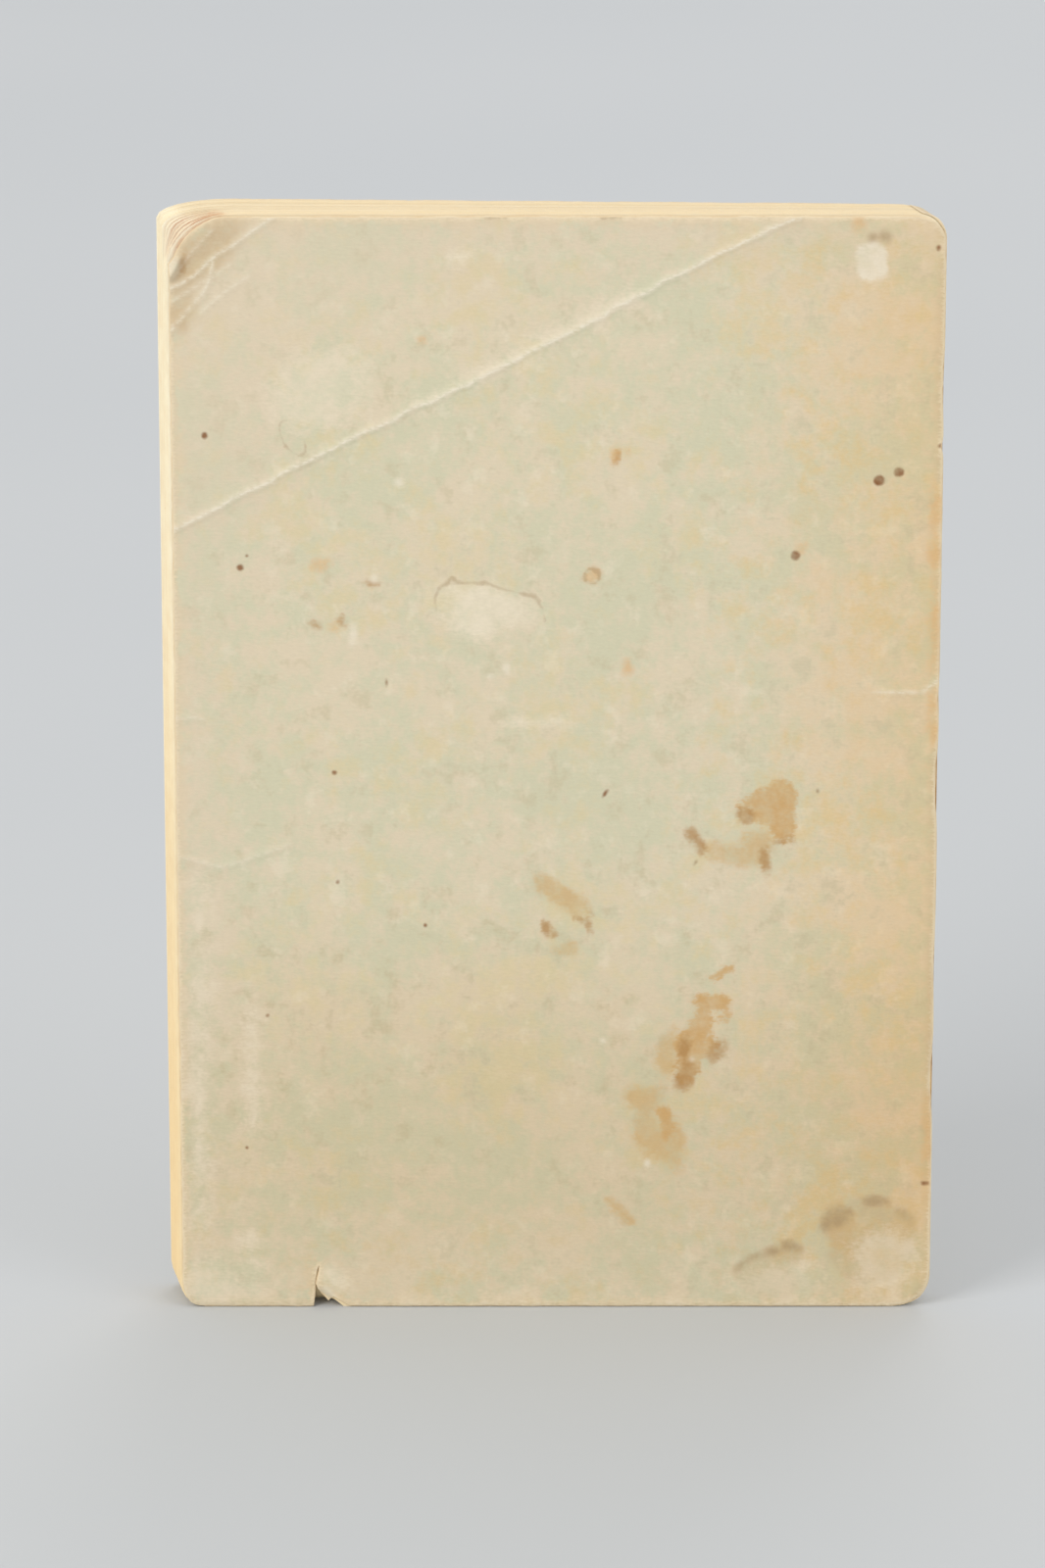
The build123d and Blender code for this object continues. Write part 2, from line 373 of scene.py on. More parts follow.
def fanned_leaves_tree(paper):
    """Fans copies of one leaf from the back of the book to the front, bunched, slipped and worn."""
    number = "NodeSocketFloat"
    inputs = [
        ("Leaf", "NodeSocketGeometry", None),
        ("Leaves", "NodeSocketInt", 1),
        ("Spine Foot", "NodeSocketVector", None),
        ("Spine Run", "NodeSocketVector", None),
        ("Width", number, 1.0),
        ("Height", number, 1.0),
        ("Stock", number, 0.0),
        ("Swell", number, 0.0),
        ("Fan", number, 0.0),
        ("Slip", number, 0.0),
        ("Bunch", number, 1.0),
        ("Fore Gap", number, 0.0),
        ("Corner Gap", number, 0.0),
        ("Worn Bunches", number, 1.0),
        ("Torn Leaves", number, 1.0),
        ("Seed", "NodeSocketInt", LEAF_SEED),
    ]
    outputs = [("Stack", "NodeSocketGeometry")]
    tree, given, out = new_group("Fanned leaves", "GeometryNodeTree", inputs, outputs)
    plus, minus, times, over = sums(tree)

    # One instance for each leaf, numbered from the back
    points = put(tree, "GeometryNodePoints", {"Count": given["Leaves"]}).outputs[0]
    placed = put(tree, "GeometryNodeInstanceOnPoints", {"Points": points, "Instance": given["Leaf"]})
    index = put(tree, "GeometryNodeInputIndex").outputs[0]
    numbered = put(
        tree,
        "GeometryNodeStoreNamedAttribute",
        {"Geometry": placed.outputs[0], "Name": "leaf", "Value": index},
        data_type="FLOAT",
        domain="INSTANCE",
    )
    stack = put(tree, "GeometryNodeRealizeInstances", {"Geometry": numbered.outputs[0]}).outputs[0]

    def stored(name):
        node = put(tree, "GeometryNodeInputNamedAttribute", {"Name": name}, data_type="FLOAT")
        return node.outputs["Attribute"]

    def random(low, high, shift):
        sockets = {2: low, 3: high, "ID": leaf, "Seed": plus(given["Seed"], shift)}
        return put(tree, "FunctionNodeRandomValue", sockets, data_type="FLOAT").outputs[1]

    leaf = stored("leaf")
    share = over(leaf, minus(given["Leaves"], 1))
    position = put(tree, "GeometryNodeInputPosition").outputs[0]
    place = put(tree, "ShaderNodeSeparateXYZ", {0: position}).outputs
    out_share = over(place[0], given["Width"])

    # Leaves cling in bunches of uneven size
    sway = times(calc(tree, "SINE", times(leaf, SWAY_PACE)), BUNCH_SWAY)
    phase = plus(over(leaf, given["Bunch"]), sway)
    bunch = calc(tree, "FLOOR", phase)
    in_bunch = calc(tree, "FRACT", phase)

    # Corner worn round on the leaves nearest the back, a bunch at a time
    step = minus(1.0, over(bunch, given["Worn Bunches"]))
    worn = plus(step, random(-WEAR_SPREAD, WEAR_SPREAD, 1), clamp=True)
    slip = over(random(0.0, given["Slip"], 2), given["Width"])
    x = times(minus(place[0], times(stored("wear"), worn)), minus(1.0, slip))

    # Tail torn behind the chip
    left = minus(TORN_START, over(leaf, given["Torn Leaves"]))
    torn = times(times(left, 1.0, clamp=True), random(TORN_LEAST, 1.0, 3))
    head_slip = over(random(0.0, given["Slip"], 4), given["Height"])
    z = times(plus(place[2], times(stored("chip"), torn)), minus(1.0, head_slip))

    # Gaps between the bunches, widest at the worn corner towards the back, where the leaves are pressed thin
    thumbed = times(stored("corner"), span(tree, share, 0.3, 0.5, 1.0, 0.0))
    corner_gap = times(given["Corner Gap"], thumbed)
    fore_gap = times(given["Fore Gap"], calc(tree, "POWER", out_share, 2.0))
    stock = plus(given["Stock"], times(given["Swell"], out_share))
    stock = minus(stock, times(corner_gap, CORNER_PRESS))
    y = minus(times(place[1], stock), times(in_bunch, plus(fore_gap, corner_gap)))

    # Each leaf turned by its share of the fan and set along the spine
    flat = put(tree, "ShaderNodeCombineXYZ", {0: times(x, -1.0), 1: y, 2: z}).outputs[0]
    angle = times(times(share, given["Fan"]), -1.0)
    turned = put(tree, "ShaderNodeVectorRotate", {"Vector": flat, "Angle": angle}, rotation_type="Z_AXIS")
    run = put(tree, "ShaderNodeVectorMath", {0: given["Spine Run"], "Scale": share}, operation="SCALE")
    foot = vector_calc(tree, "ADD", given["Spine Foot"], run.outputs[0])
    fanned = vector_calc(tree, "ADD", turned.outputs[0], foot)
    moved = put(tree, "GeometryNodeSetPosition", {"Geometry": stack, "Position": fanned}).outputs[0]
    painted = put(tree, "GeometryNodeSetMaterial", {"Geometry": moved, "Material": paper})
    tree.links.new(painted.outputs[0], out["Stack"])
    return tree


def leaf_stack(paper):
    """All leaves of the book as one mesh."""
    tree = fanned_leaves_tree(paper)
    sizes = {
        "Leaves": LEAVES,
        "Spine Foot": Vector((SPINE_X, BACK_Y + LEAF_STOCK / 2, 0)) * MM,
        "Spine Run": Vector((-LEAN, SPINE_THICKNESS - LEAF_STOCK, 0)) * MM,
        "Width": LEAF_WIDTH * MM,
        "Height": HEIGHT * MM,
        "Stock": LEAF_STOCK * MM,
        "Swell": LEAF_SWELL * MM,
        "Fan": FAN,
        "Slip": LEAF_SLIP * MM,
        "Bunch": BUNCH,
        "Fore Gap": FORE_GAP * MM,
        "Corner Gap": CORNER_GAP * MM,
        "Worn Bunches": WORN_BUNCHES,
        "Torn Leaves": TORN_LEAVES,
        "Seed": LEAF_SEED,
    }
    maker = new_object("leaf_maker", single_leaf())
    modifier = maker.modifiers.new("Fanned leaves", "NODES")
    modifier.node_group = tree
    for socket in tree.interface.items_tree:
        if socket.name in sizes:
            modifier[socket.identifier] = sizes[socket.name]
    evaluated = maker.evaluated_get(bpy.context.evaluated_depsgraph_get())
    mesh = bpy.data.meshes.new_from_object(evaluated)
    bpy.data.objects.remove(maker)
    mesh.materials.clear()
    return finished_mesh("leaf_stack", mesh, [paper])


# Paper sheets
def traced_outline(start, *moves):
    """Points along an outline: a move is an end point, or a control point and an end point of a curve."""
    points = []
    here = Vector(start)
    for move in moves:
        if isinstance(move[0], tuple):
            control, end = Vector(move[0]), Vector(move[1])
        else:
            end = Vector(move)
            control = (here + end) / 2
        steps = max(1, round((end - here).length / OUTLINE_STEP))
        for k in range(steps):
            t = k / steps
            points.append(here * (1 - t) ** 2 + control * 2 * t * (1 - t) + end * t**2)
        here = end
    return points


def ragged(outline, seed, coarse, fine):
    """Draws an outline's points in by an uneven amount, as on a rubbed paper edge."""
    rough = []
    for k, point in enumerate(outline):
        along = outline[(k + 1) % len(outline)] - outline[k - 1]
        inward = Vector((-along.y, along.x)).normalized()
        u, w = point
        bite = coarse * (1 + noise.noise((u / BITE_SIZE, w / BITE_SIZE, seed))) / 2
        nibble = fine * (1 + noise.noise((u / NIBBLE_SIZE, w / NIBBLE_SIZE, seed + 9))) / 2
        rough.append(point + inward * (bite + nibble))
    return rough


def path_distance(spots, path):
    """Distances in the sheet from spots to a path of straight runs."""
    nearest = np.full(len(spots), np.inf)
    for a, b in zip(path, path[1:]):
        start = np.array(a)
        run = np.array(b) - start
        reach = spots - start
        share = np.clip(reach @ run / (run @ run), 0, 1)
        nearest = np.minimum(nearest, np.hypot(*(reach - share[:, None] * run).T))
    return nearest


def oval_depth(spots, oval):
    """How deep spots lie inside a turned oval, below zero outside it."""
    u, w, wide, high, turn = oval
    cos, sin = math.cos(math.radians(turn)), math.sin(math.radians(turn))
    du, dw = spots[:, 0] - u, spots[:, 1] - w
    return (1 - np.hypot((du * cos + dw * sin) / wide, (dw * cos - du * sin) / high)) * min(wide, high)


def mark_depth(spots, marks, merge):
    """How deep spots lie inside any of several marks, which run together where they come near each other."""
    depth = np.full(len(spots), -9.0)
    for mark in marks:
        if isinstance(mark[0], tuple):
            one = mark[1] - path_distance(spots, mark[0])
        else:
            one = oval_depth(spots, mark)
        bridge = np.maximum(merge - np.abs(depth - one), 0)
        depth = np.maximum(depth, one) + bridge**2 / (4 * merge)
    return depth


def inside(outline, spots):
    """Which spots lie inside an outline."""
    within = np.zeros(len(spots), dtype=bool)
    u, w = spots.T
    for a, b in zip(outline, outline[1:] + outline[:1]):
        if a.y != b.y:
            crossing = a.x + (w - a.y) * (b.x - a.x) / (b.y - a.y)
            within ^= ((a.y > w) != (b.y > w)) & (u < crossing)
    return within


class Scatter:
    """Points that keep their distance from each other."""

    def __init__(self, points):
        self.points = []
        self.cells = {}
        for point in points:
            self.add(point, 0.0)

    def add(self, point, gap):
        column, row = math.floor(point[0]), math.floor(point[1])
        reach = math.ceil(gap)
        for i in range(column - reach, column + reach + 1):
            for j in range(row - reach, row + reach + 1):
                for other in self.cells.get((i, j), ()):
                    if math.dist(other, point) < gap:
                        return
        self.cells.setdefault((column, row), []).append(tuple(point))
        self.points.append(tuple(point))


def hex_spots(low, high, spacing):
    """Even spread of spots over a box."""
    rise = spacing * math.sqrt(3) / 2
    for row in range(int((high[1] - low[1]) / rise) + 1):
        shift = spacing / 2 * (row % 2)
        for column in range(int((high[0] - low[0]) / spacing) + 1):
            yield (low[0] + column * spacing + shift, low[1] + row * rise)


def row_spots(path, step, rows):
    """Spots in rows along a path."""
    for a, b in zip(path, path[1:]):
        run = Vector(b) - Vector(a)
        across = Vector((-run.y, run.x)).normalized()
        steps = max(1, round(run.length / step))
        for k in range(steps + 1):
            for row in rows:
                yield Vector(a) + run * (k / steps) + across * row


def mark_spots(mark):
    """Spots over one mark, closer together where it is small, with the gap that they keep."""
    if isinstance(mark[0], tuple):
        path, width = mark
        return list(row_spots(path, 1.6 * width, (-2 * width, -width, 0, width, 2 * width))), 0.6 * width
    u, w, wide, high, _ = mark
    closest, widest = MARK_SPACING
    spacing = min(max(0.5 * min(wide, high), closest), widest)
    reach = max(wide, high) + 1.5 * spacing
    return list(hex_spots((u - reach, w - reach), (u + reach, w + reach), spacing)), 0.7 * spacing


def sheet_spots(outline, creases, marks, curled):
    """Points of a sheet: its outline, rows along creases, close ones at marks, an even spread elsewhere."""
    scatter = Scatter(outline)
    batches = [(list(hex_spots(low, high, CURL_SPACING)), CURL_SPACING / 2) for low, high in curled]
    batches += [(list(row_spots(crease.path, CREASE_STEP, CREASE_ROWS)), CREASE_GAP) for crease in creases]
    batches += sorted((mark_spots(mark) for mark in marks), key=lambda batch: batch[1])
    low = (min(p.x for p in outline), min(p.y for p in outline))
    high = (max(p.x for p in outline), max(p.y for p in outline))
    batches.append((list(hex_spots(low, high, SHEET_SPACING)), 0.62 * SHEET_SPACING))
    for spots, gap in batches:
        spots = np.array(spots)
        for spot in spots[inside(outline, spots)]:
            scatter.add(spot, gap)
    return [Vector(point) for point in scatter.points]


def paper_sheet(name, outline, creases, place, relief, materials, layers=(), curled=()):
    """Sheet of cover stock with a rounded rim: face, lining and rim take the three materials in turn."""
    marks = [mark for layer in layers if layer.soft < FINE_SOFT for mark in set_down(layer.marks)]
    loop = [(k, (k + 1) % len(outline)) for k in range(len(outline))]
    points = sheet_spots(outline, creases, marks, curled)
    flat, _, triangles, *_ = delaunay_2d_cdt(points, loop, [], 0, POINT_MERGE, False)
    spots = np.array(flat)
    kept = inside(outline, spots[np.array(triangles)].mean(axis=1))
    triangles = [triangle for triangle, keep in zip(triangles, kept) if keep]
    used = sorted({i for triangle in triangles for i in triangle})
    order = {old: new for new, old in enumerate(used)}
    flat = [flat[i] for i in used]
    spots = spots[used]
    triangles = [tuple(order[i] for i in triangle) for triangle in triangles]
    directed = {(t[i - 1], t[i]) for t in triangles for i in range(3)}
    after = {a: b for a, b in directed if (b, a) not in directed}
    before = {b: a for a, b in after.items()}

    heights = relief(spots)
    count = len(flat)
    corners = [place(p.x, p.y, h) for p, h in zip(flat, heights)]
    corners += [place(p.x, p.y, h - STOCK) for p, h in zip(flat, heights)]
    rim = {}
    for k in after:
        along = (flat[k] - flat[before[k]]).normalized() + (flat[after[k]] - flat[k]).normalized()
        outward = Vector((along.y, -along.x)).normalized() * (STOCK / 2)
        rim[k] = len(corners)
        corners.append(place(flat[k].x + outward.x, flat[k].y + outward.y, heights[k] - STOCK / 2))

    faces = list(triangles)
    faces += [tuple(count + i for i in reversed(triangle)) for triangle in triangles]
    for a, b in after.items():
        faces.append((b, a, rim[a], rim[b]))
        faces.append((rim[b], rim[a], count + a, count + b))
    mesh = bpy.data.meshes.new(name)
    mesh.from_pydata([corner * MM for corner in corners], [], faces)
    kinds = [0] * len(triangles) + [1] * len(triangles) + [2] * (2 * len(after))
    mesh.polygons.foreach_set("material_index", kinds)

    values = {layer.name: mark_depth(spots, set_down(layer.marks), layer.merge) for layer in layers}
    values["crease"] = crease_field(spots, creases, "wear", WEAR_REACH)
    values["edge_mm"] = path_distance(spots, outline + outline[:1])
    for field, value in values.items():
        add_values(mesh, field, np.concatenate([value, value, value[list(rim)]]))
    return finished_mesh(name, mesh, materials)


def crease_field(spots, creases, part, reach):
    """Height or wear of the creases at spots of a sheet."""
    ridges = [getattr(c, part) * np.exp(-((path_distance(spots, c.path) / reach) ** 2)) for c in creases]
    return np.max(ridges, axis=0)


def past_line(spots, crease):
    """How far spots lie past the straight line of a crease, towards the corner that it folds."""
    start = Vector(crease.path[0])
    run = (Vector(crease.path[-1]) - start).normalized()
    return np.maximum(run.x * (spots[:, 1] - start.y) - run.y * (spots[:, 0] - start.x), 0)


def cover_place(fold, fore, out):
    """Function from a place on a cover, and a height off its face, to the book's frame."""

    def place(u, w, height):
        point = fold + fore * (COVER_WIDTH - u) + out * (STOCK / 2 + height)
        return Vector((point.x, point.y, w))

    return place


def cover_relief(spots, creases, seed):
    """Height of a cover off its plane: the gentle warp of old paper and its creases, flat along the fold."""
    from_fold = COVER_WIDTH - spots[:, 0]
    warp = 0
    for (rise, reach), shift in ((WIDE_WARP, 0), (CLOSE_WARP, 5)):
        warp = warp + np.array(
            [rise * (1 + noise.noise((u / reach, w / reach, seed + shift))) / 2 for u, w in spots]
        )
    ridges = crease_field(spots, creases, "ridge", RIDGE_REACH)
    return warp * smooth(from_fold / FLAT_AT_FOLD) + ridges * smooth(from_fold / UNCREASED_AT_FOLD)


def beside_tear(u, w, reach):
    """How much of the lifted paper right of the tear is at a place, fading over a reach."""
    middle = TEAR_FOOT + TEAR_WIDTH / 2
    past = u - middle - (TEAR_TOP[0] - middle) * w / TEAR_TOP[1]
    return np.where(past > 0, np.exp(-((past / reach) ** 2)), 0) * smooth((TEAR_TOP[1] - w) / 4)


def back_relief(spots):
    """Back cover's height: both folded corners, the lip of the worn one and the paper lifted by the tear."""
    folded = FOLDED_RISE * past_line(spots, FOLDED_CORNER) + DOG_EAR_RISE * past_line(spots, DOG_EAR)
    lip = LIP_HEIGHT * np.exp(-((path_distance(spots, LIP) / LIP_REACH) ** 2))
    lifted = TEAR_LIFT * beside_tear(spots[:, 0], spots[:, 1], TEAR_LIFT_REACH)
    return cover_relief(spots, BACK_CREASES, 2.0) + folded + lip + lifted


flat_back = cover_place(back_fold, Vector((-1, 0, 0)), Vector((0, -1, 0)))


def torn_tongue(past):
    """Torn tongue past its fold, sharply into the book, then curled out: its run, height and slope."""
    bend = min(past, FOLD_RADIUS * FOLD_TURN)
    angle = bend / FOLD_RADIUS
    run = FOLD_RADIUS * math.sin(angle)
    height = FOLD_RADIUS * (math.cos(angle) - 1)
    inward = min(past - bend, FOLD_DEPTH)
    run += inward * math.cos(angle)
    height -= inward * math.sin(angle)
    slope = angle - (past - bend - inward) / CURL_RADIUS
    run += CURL_RADIUS * (math.sin(angle) - math.sin(slope))
    height += CURL_RADIUS * (math.cos(angle) - math.cos(slope))
    return run, height, slope


def back_place(u, w, height):
    """Back cover with its torn tongue folded in along the hypotenuse of the chip."""
    hinge = Vector((TEAR_FOOT, CHIP_HEIGHT))
    edge = Vector((CHIP_WIDTH, -CHIP_HEIGHT)).normalized()
    away = Vector((edge.y, -edge.x))
    past = (Vector((u, w)) - hinge).dot(away)
    lap = float(beside_tear(u, w, TEAR_LAP_REACH))
    if past <= 0 or (u < TEAR_TOP[0] and lap == 0):
        return flat_back(u - TEAR_LAP * lap, w, height)
    run, drop, slope = torn_tongue(past)
    end = Vector((u, w)) + away * (run + height * math.sin(slope) - past)
    return flat_back(end.x, end.y, drop + height * math.cos(slope))


def dent(w):
    """How far the spine edge of the back cover is knocked in at a height."""
    return sum(deep * math.exp(-(((w - middle) / reach) ** 2)) for middle, reach, deep in KNOCKS)


def back_cover_sheet(materials):
    """Back cover: rubbed edges, worn head corner, and a tear at the tail."""
    head = HEIGHT - HEAD_DRAW
    outline = traced_outline(
        (4.6, TAIL_DRAW),
        (TEAR_FOOT, TAIL_DRAW),
        TEAR_TOP,
        (TEAR_FOOT + 2 * TEAR_WIDTH, 2.4),
        (27.2, 0.6),
        (28.8, 2.0),
        (TEAR_FOOT + CHIP_WIDTH, TAIL_DRAW),
        (COVER_WIDTH - 8.5, TAIL_DRAW),
        ((COVER_WIDTH, TAIL_DRAW), (COVER_WIDTH, 7.5)),
        (COVER_WIDTH, HEIGHT - 6.0),
        ((COVER_WIDTH, head), (COVER_WIDTH - 6.5, head)),
        (10.8, head),
        ((4.6, head - 0.3), (1.3, 202.2)),
        (0.3, 200.9),
        (FORE_DRAW, 198.8),
        (FORE_DRAW, 5.2),
        ((FORE_DRAW, TAIL_DRAW), (4.6, TAIL_DRAW)),
    )
    outline = [Vector((p.x - dent(p.y) * smooth((p.x - COVER_WIDTH + 4) / 3), p.y)) for p in outline]
    outline = ragged(outline, 4.0, 0.26, 0.16)
    curled = [((TEAR_FOOT, 0), (TEAR_FOOT + 8, 7))]
    return paper_sheet(
        "back_cover_sheet", outline, BACK_CREASES, back_place, back_relief, materials, BACK_LAYERS, curled
    )


def front_cover_sheet(materials):
    """Front cover: a plain sheet with rubbed edges."""
    fore = Vector((-math.cos(FAN), math.sin(FAN), 0))
    out = Vector((math.sin(FAN), math.cos(FAN), 0))
    head = HEIGHT - 0.1
    outline = traced_outline(
        (4.5, 0),
        (COVER_WIDTH - 8.0, 0),
        ((COVER_WIDTH, 0), (COVER_WIDTH, 7.5)),
        (COVER_WIDTH, HEIGHT - 6.0),
        ((COVER_WIDTH, head), (COVER_WIDTH - 6.5, head)),
        (12.0, head),
        ((0.8, head - 0.4), (FORE_DRAW, HEIGHT - 6.0)),
        (FORE_DRAW, 5.0),
        ((FORE_DRAW, 0), (4.5, 0)),
    )

    def relief(spots):
        return cover_relief(spots, FRONT_CREASES, 12.0)

    outline = ragged(outline, 14.0, 0.16, 0.1)
    place = cover_place(front_fold, fore, out)
    return paper_sheet("front_cover_sheet", outline, FRONT_CREASES, place, relief, materials)


def spine_sheet(materials):
    """Spine of the wrapper, bent over the bumped corners at head and tail and pressed onto the leaves."""
    tail_run = (TAIL_RADIUS + WRAP_REACH) * CAP_ANGLE
    head_run = (HEAD_RADIUS + WRAP_REACH) * CAP_ANGLE
    straight = HEIGHT - TAIL_RADIUS - HEAD_RADIUS
    length = tail_run + straight + head_run
    run = Vector((-LEAN, front_fold.y - back_fold.y, 0))
    width = run.length
    creases = (
        Crease(((0.28 * width, 0), (0.25 * width, length / 2), (0.3 * width, length)), 0.05, 0.8),
        Crease(((0.66 * width, 0), (0.7 * width, length * 0.4), (0.64 * width, length)), 0.05, 0.8),
        Crease(((0.3, 118), (width - 0.3, 116.5)), 0.03, 0.5),
    )

    def bent(turn, centre_x, centre_z, radius, height):
        thin = 1 - CAP_THINNING * float(smooth((abs(turn) - CAP_THIN_FROM) / CAP_THIN_OVER))
        reach = radius + (WRAP_REACH + height * WRAP_REACH / STOCK) * thin
        return Vector((centre_x + math.cos(turn) * reach, 0, centre_z + math.sin(turn) * reach))

    def place(u, w, height):
        if w < tail_run:
            turn = (w - tail_run) / (TAIL_RADIUS + WRAP_REACH)
            spot = bent(turn, SPINE_X - TAIL_RADIUS, TAIL_RADIUS, TAIL_RADIUS, height)
        elif w > tail_run + straight:
            turn = (w - tail_run - straight) / (HEAD_RADIUS + WRAP_REACH)
            spot = bent(turn, SPINE_X - HEAD_RADIUS, HEIGHT - HEAD_RADIUS, HEAD_RADIUS, height)
        else:
            spot = Vector((SPINE_X + WRAP_REACH + height, 0, TAIL_RADIUS + w - tail_run))
        spot.x -= min(dent(spot.z), SPINE_DENT) * (1 - u / width)
        return spot + Vector((0, back_fold.y, 0)) + run * (u / width)

    def relief(spots):
        return -crease_field(spots, creases, "ridge", RIDGE_REACH)

    near = STOCK + SPINE_GAP
    far = width - near
    outline = traced_outline((near, 0), (far, 0), (far, length), (near, length), (near, 0))
    outline = ragged(outline, 24.0, 0.05, 0.05)
    return paper_sheet("spine_sheet", outline, creases, place, relief, materials)


# Colours, as they look on a screen under plain light
def tone(red, green, blue):
    """Colour for a shader from screen values of 0 to 255."""
    parts = [value / 255 for value in (red, green, blue)]
    linear = [p / 12.92 if p <= 0.04045 else ((p + 0.055) / 1.055) ** 2.4 for p in parts]
    return (*linear, 1.0)


SAGE = tone(210, 205, 175)
PEACH = tone(222, 207, 179)
STRAW = tone(220, 202, 158)
DIRT = tone(201, 189, 156)
FLUSH = tone(221, 204, 178)
OCHRE = tone(204, 170, 115)
AMBER = tone(222, 195, 153)
PALE = tone(234, 222, 197)
WHITE = tone(236, 226, 205)
TAN = tone(205, 166, 111)
BROWN = tone(178, 136, 84)
SPECK = tone(134, 86, 47)
ORANGE = tone(217, 168, 104)
GREY = tone(168, 143, 106)
SOIL_AND_SHADE = tone(193, 163, 118)
# Crevices between the leaf bunches: painted shade with some soil
CREVICE_SHADE_AND_SOIL = tone(204, 124, 50)
CORE = tone(236, 218, 184)
LINING = tone(224, 206, 170)
LEAF_HEAD = tone(254, 246, 222)
LEAF_TAIL = tone(254, 235, 194)
HEAD_DUST = tone(236, 219, 185)
LEAF_BROWN = tone(228, 195, 143)
THREAD = tone(226, 216, 192)
GLUE = tone(176, 128, 70)
FLOOR = tone(203, 205, 206)
FLOOR_SHADE = tone(197, 200, 202)
# Casts that brown the cover towards the spine and the tail: partly the paper's toning and dust, partly
# painted shade
WARM_CAST = (1.02, 0.9, 0.76, 1.0)
DUST_AND_SHADE_CAST = (0.93, 0.87, 0.79, 1.0)

# Marks on the back cover, measured from its rubbed fore edge and from its foot. An oval is a centre,
# a half width, a half height and a turn in degrees. A line is a path and a half width.
MARK_ORIGIN = (0.27, -0.4)


def ring_line(u, w, wide, high, turn, width, first=0, last=16):
    """Thin line round an oval, between two of its sixteenths."""
    cos, sin = math.cos(math.radians(turn)), math.sin(math.radians(turn))
    path = []
    for k in range(first, last + 1):
        du, dw = wide * math.cos(k * math.pi / 8), high * math.sin(k * math.pi / 8)
        path.append((u + du * cos - dw * sin, w + du * sin + dw * cos))
    return tuple(path), width


FLUSHED = (
    (18.0, 200.0, 56.0, 20.0, 27),
    (6.0, 172.0, 16.0, 30.0, 0),
    (2.0, 100.0, 9.0, 80.0, 0),
    (100.0, 209.0, 50.0, 9.0, 0),
)
SOILED_AND_SHADED = (
    (6.2, 202.8, 6.4, 4.0, 42),
    (8.2, 206.0, 5.2, 3.0, 38),
    (2.6, 199.2, 2.2, 1.8, 20),
    (2.4, 193.0, 2.4, 4.0, -10),
    (5.0, 203.4, 2.2, 2.8, -35),
    (1.6, 192.0, 1.2, 3.0, -10),
    (122.8, 18.6, 2.4, 1.9, 20),
    # Painted shade along the spine edge, where the cover curves away from the light
    (((140.3, 66.0), (140.5, 45.0), (140.3, 27.0)), 1.1),
)
PALE_RUBS_AND_HIGHLIGHT = (
    (56.9, 137.4, 8.8, 3.6, -8),
    (55.2, 135.0, 4.6, 3.8, 0),
    # Painted highlight on the paper lifted beside the tear, with its rubbing
    (28.4, 6.0, 2.8, 1.6, -40),
    (((61.0, 114.8), (71.5, 115.6)), 0.5),
    (((50.8, 202.1), (54.8, 202.9)), 0.4),
)
SOFT_RUBS = (
    (131.5, 9.5, 5.8, 6.4, 0),
    (132.8, 12.4, 2.6, 3.2, 0),
    (110.4, 5.0, 6.0, 4.4, 0),
    (114.8, 6.4, 2.6, 2.6, 0),
    (((46.0, 175.4), (66.0, 185.6), (84.0, 195.4)), 0.8),
    (5.0, 5.0, 5.0, 4.5, 0),
    (27.0, 178.0, 9.0, 7.0, 30),
    (((4.2, 84.0), (3.4, 17.0)), 1.0),
    (((14.0, 58.0), (14.0, 38.0)), 0.6),
    (((12.8, 14.0), (13.3, 1.1)), 1.0),
    (((3.0, 0.9), (23.0, 0.8)), 0.9),
    (((33.0, 0.8), (136.0, 0.8)), 0.6),
)
FAINT_STAINS = (
    (107.2, 92.2, 3.2, 2.2, 0),
    (((99.0, 90.2), (103.1, 89.4), (107.6, 89.0)), 1.8),
    (90.8, 50.7, 2.0, 4.4, -15),
    (86.5, 41.9, 3.6, 2.8, 0),
    (86.8, 36.0, 2.4, 5.0, 10),
    (91.0, 33.4, 2.8, 5.4, 10),
    (71.7, 71.4, 2.0, 1.4, 0),
    (((67.4, 83.9), (71.1, 81.4), (74.6, 78.9)), 1.9),
    (((79.5, 22.0), (84.3, 17.4)), 0.6),
)
TAN_STAINS = (
    (111.1, 100.4, 3.2, 3.8, 0),
    (111.3, 95.7, 2.4, 3.6, 15),
    (106.7, 100.4, 2.9, 1.4, 35),
    (108.2, 97.6, 2.8, 2.4, 0),
    (((98.6, 65.4), (102.4, 67.7)), 0.7),
    (98.8, 60.7, 3.1, 1.9, 0),
    (101.6, 57.6, 1.1, 1.0, 0),
    (96.5, 56.3, 2.2, 3.6, -20),
    (94.7, 52.6, 2.8, 2.3, 0),
    (94.8, 48.6, 2.3, 3.8, -15),
    (97.6, 51.6, 2.8, 1.7, 30),
    (90.4, 37.4, 1.3, 3.2, 12),
)
